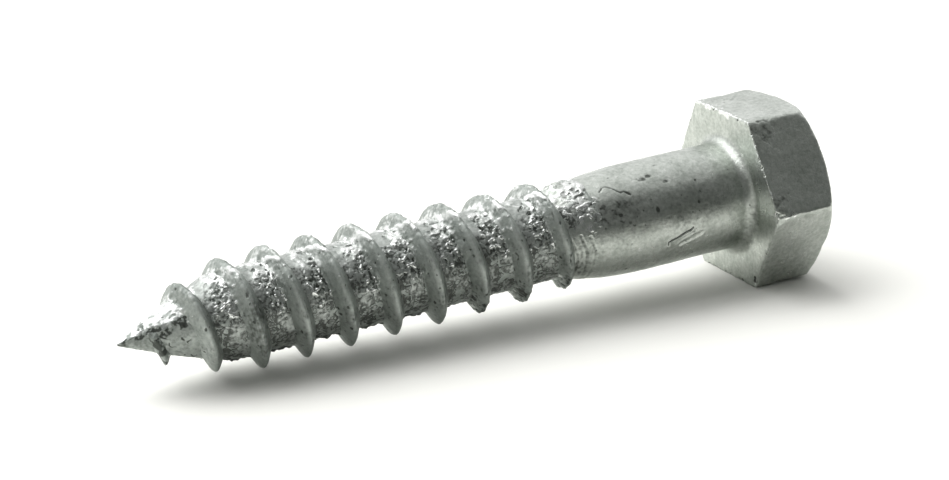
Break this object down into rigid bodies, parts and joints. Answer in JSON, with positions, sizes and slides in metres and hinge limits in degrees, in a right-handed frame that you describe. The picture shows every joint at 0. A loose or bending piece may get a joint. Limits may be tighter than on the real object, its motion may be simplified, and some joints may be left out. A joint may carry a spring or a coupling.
{
  "type": "hexagon-head lag screw",
  "caption": "Hot-dip galvanised hexagon-head lag screw: plain shank, coarse right-hand wood thread and gimlet point, driven into timber with a wrench.",
  "frame": {"origin": "centre of the face under the head, on the screw's axis", "axes": "+X along the screw's axis from the tip towards the head, +Z out of the head flat that lies uppermost, so that the head's six flats include one facing +Z and one facing -Z; the tip points to -X"},
  "size_m": [0.0779, 0.022, 0.019],
  "materials": {
    "zinc_smooth": "hot-dip galvanised, satin, mottled light grey",
    "zinc_thread": "hot-dip galvanised, satin, darker grey on the thread",
    "zinc_crust": "lumpy solidified zinc, bright and pitted"
  },
  "bodies": {
    "root": {"hex_head": "zinc_smooth", "head_fillet": "zinc_smooth", "plain_shank": "zinc_smooth", "shank_neck": "zinc_smooth", "thread_core": "zinc_thread", "gimlet_point": "zinc_thread", "wood_thread": "zinc_thread", "point_thread": "zinc_thread", "runout_thread": "zinc_thread", "zinc_crust": "zinc_crust"}
  },
  "joints": []
}
